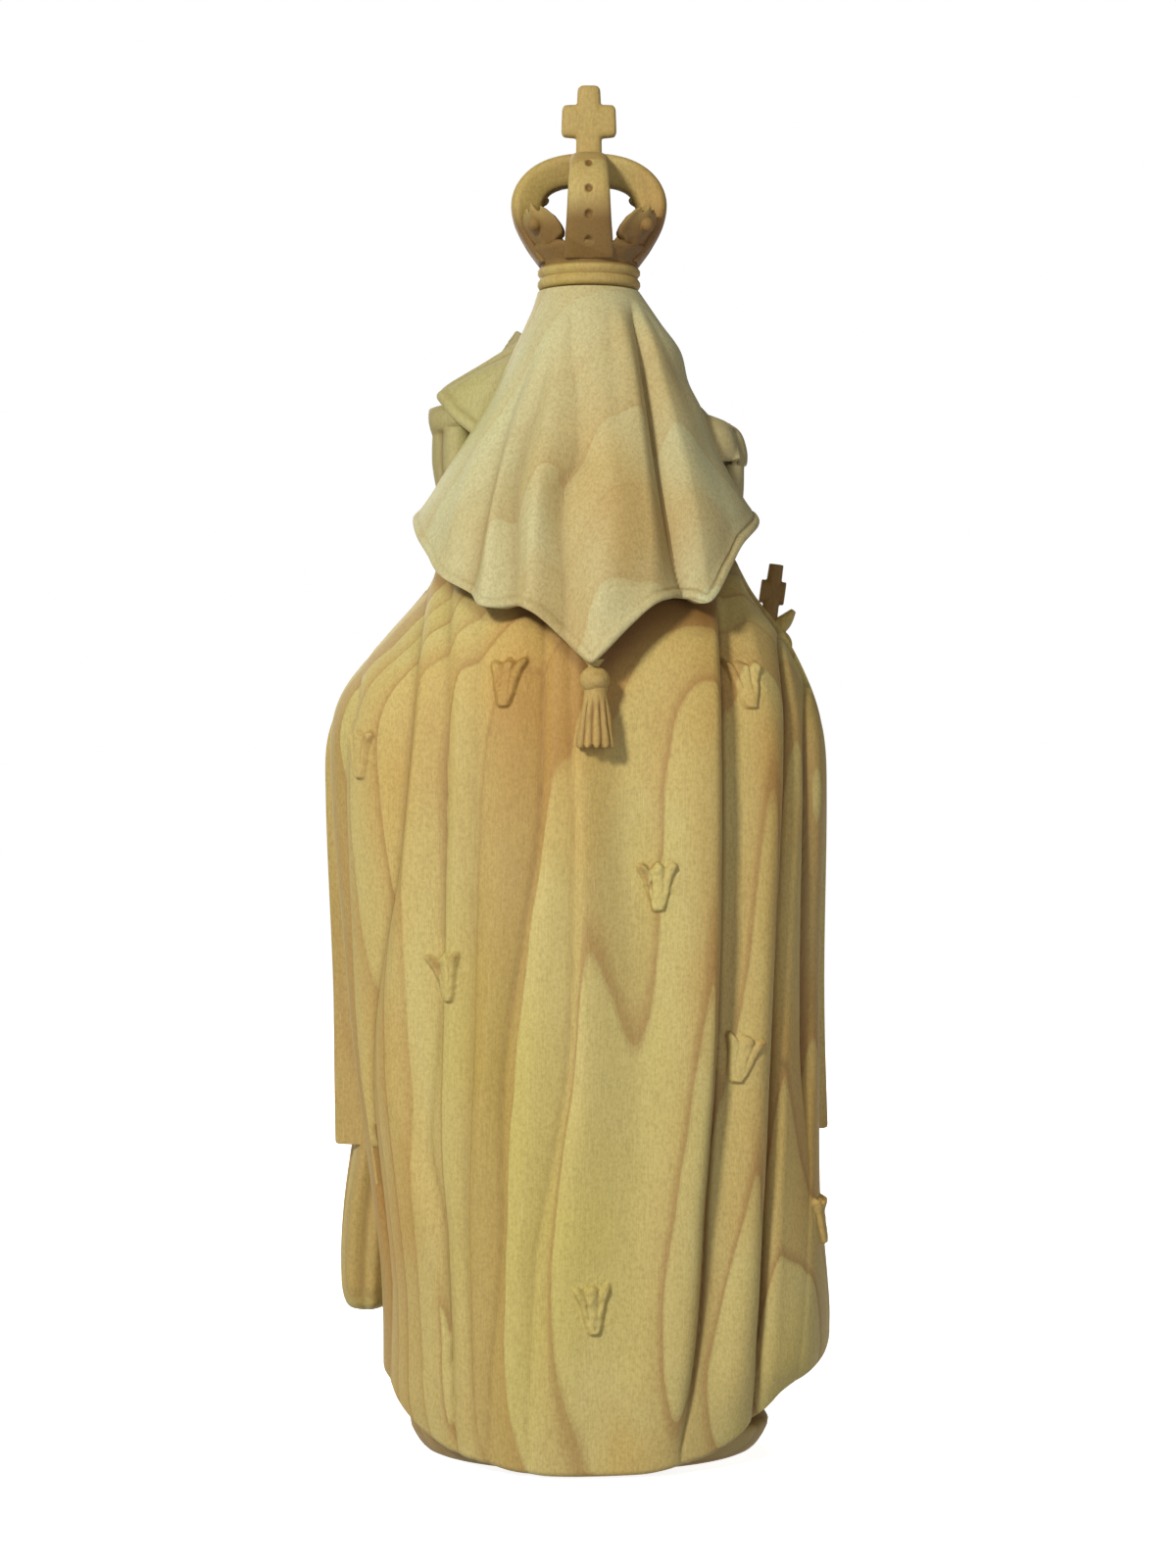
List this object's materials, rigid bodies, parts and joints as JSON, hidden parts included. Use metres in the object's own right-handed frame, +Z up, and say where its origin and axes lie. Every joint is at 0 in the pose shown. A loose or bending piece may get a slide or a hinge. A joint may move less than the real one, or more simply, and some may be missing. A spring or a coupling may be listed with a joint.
{
  "type": "madonna statue",
  "caption": "Standing carved wooden Madonna with closed crown, pointed tasselled hood and long pleated mantle, holding the Child on one arm, on a low oval plinth.",
  "frame": {"origin": "centre of the plinth's flat underside, on the figure's upright axis", "axes": "+Z up towards the crown's cross; the figure faces -Y, so +X is her left-hand side and +Y is the mantle's back"},
  "size_m": [0.1111, 0.0961, 0.3],
  "materials": {
    "mantle_wood": "carved stone pine, bare, satin, with growth rings",
    "hood_wood": "carved pale stone pine, bare, satin",
    "gown_wood": "carved stone pine, bare, satin",
    "plinth_wood": "turned and carved stone pine, bare, satin",
    "crown_wood": "carved stone pine, bare, a little darkened by handling",
    "skin_wood": "carved and smoothed pale stone pine, bare",
    "dowel_wood": "turned beech, bare"
  },
  "bodies": {
    "root": {"mantle_back": "mantle_wood", "gown": "gown_wood", "plinth": "plinth_wood", "hood": "hood_wood", "tassel": "hood_wood", "mantle_front_left": "mantle_wood", "mantle_front_right": "mantle_wood", "mantle_side_fold": "mantle_wood", "shoulder_fold_left": "hood_wood", "shoulder_fold_right": "hood_wood", "mantle_clasp": "crown_wood", "head": "skin_wood", "crown_band": "crown_wood", "crown_arches": "crown_wood", "crown_cross": "crown_wood", "crown_leaf_1": "crown_wood", "crown_leaf_2": "crown_wood", "crown_leaf_3": "crown_wood", "crown_leaf_4": "crown_wood", "child_robe": "gown_wood", "sleeve_left": "gown_wood", "sleeve_right": "gown_wood", "hand_left": "skin_wood", "hand_right": "skin_wood", "child_head": "skin_wood", "child_crown_band": "crown_wood", "child_crown_arches": "crown_wood", "child_crown_cross": "crown_wood", "child_arm_left": "skin_wood", "child_arm_right": "skin_wood", "child_orb": "crown_wood", "child_foot_left": "skin_wood", "child_foot_right": "skin_wood", "base_dowel_left": "dowel_wood", "base_dowel_right": "dowel_wood", "neck_dowel": "dowel_wood", "crown_dowel": "dowel_wood", "child_dowel": "dowel_wood"}
  },
  "joints": []
}
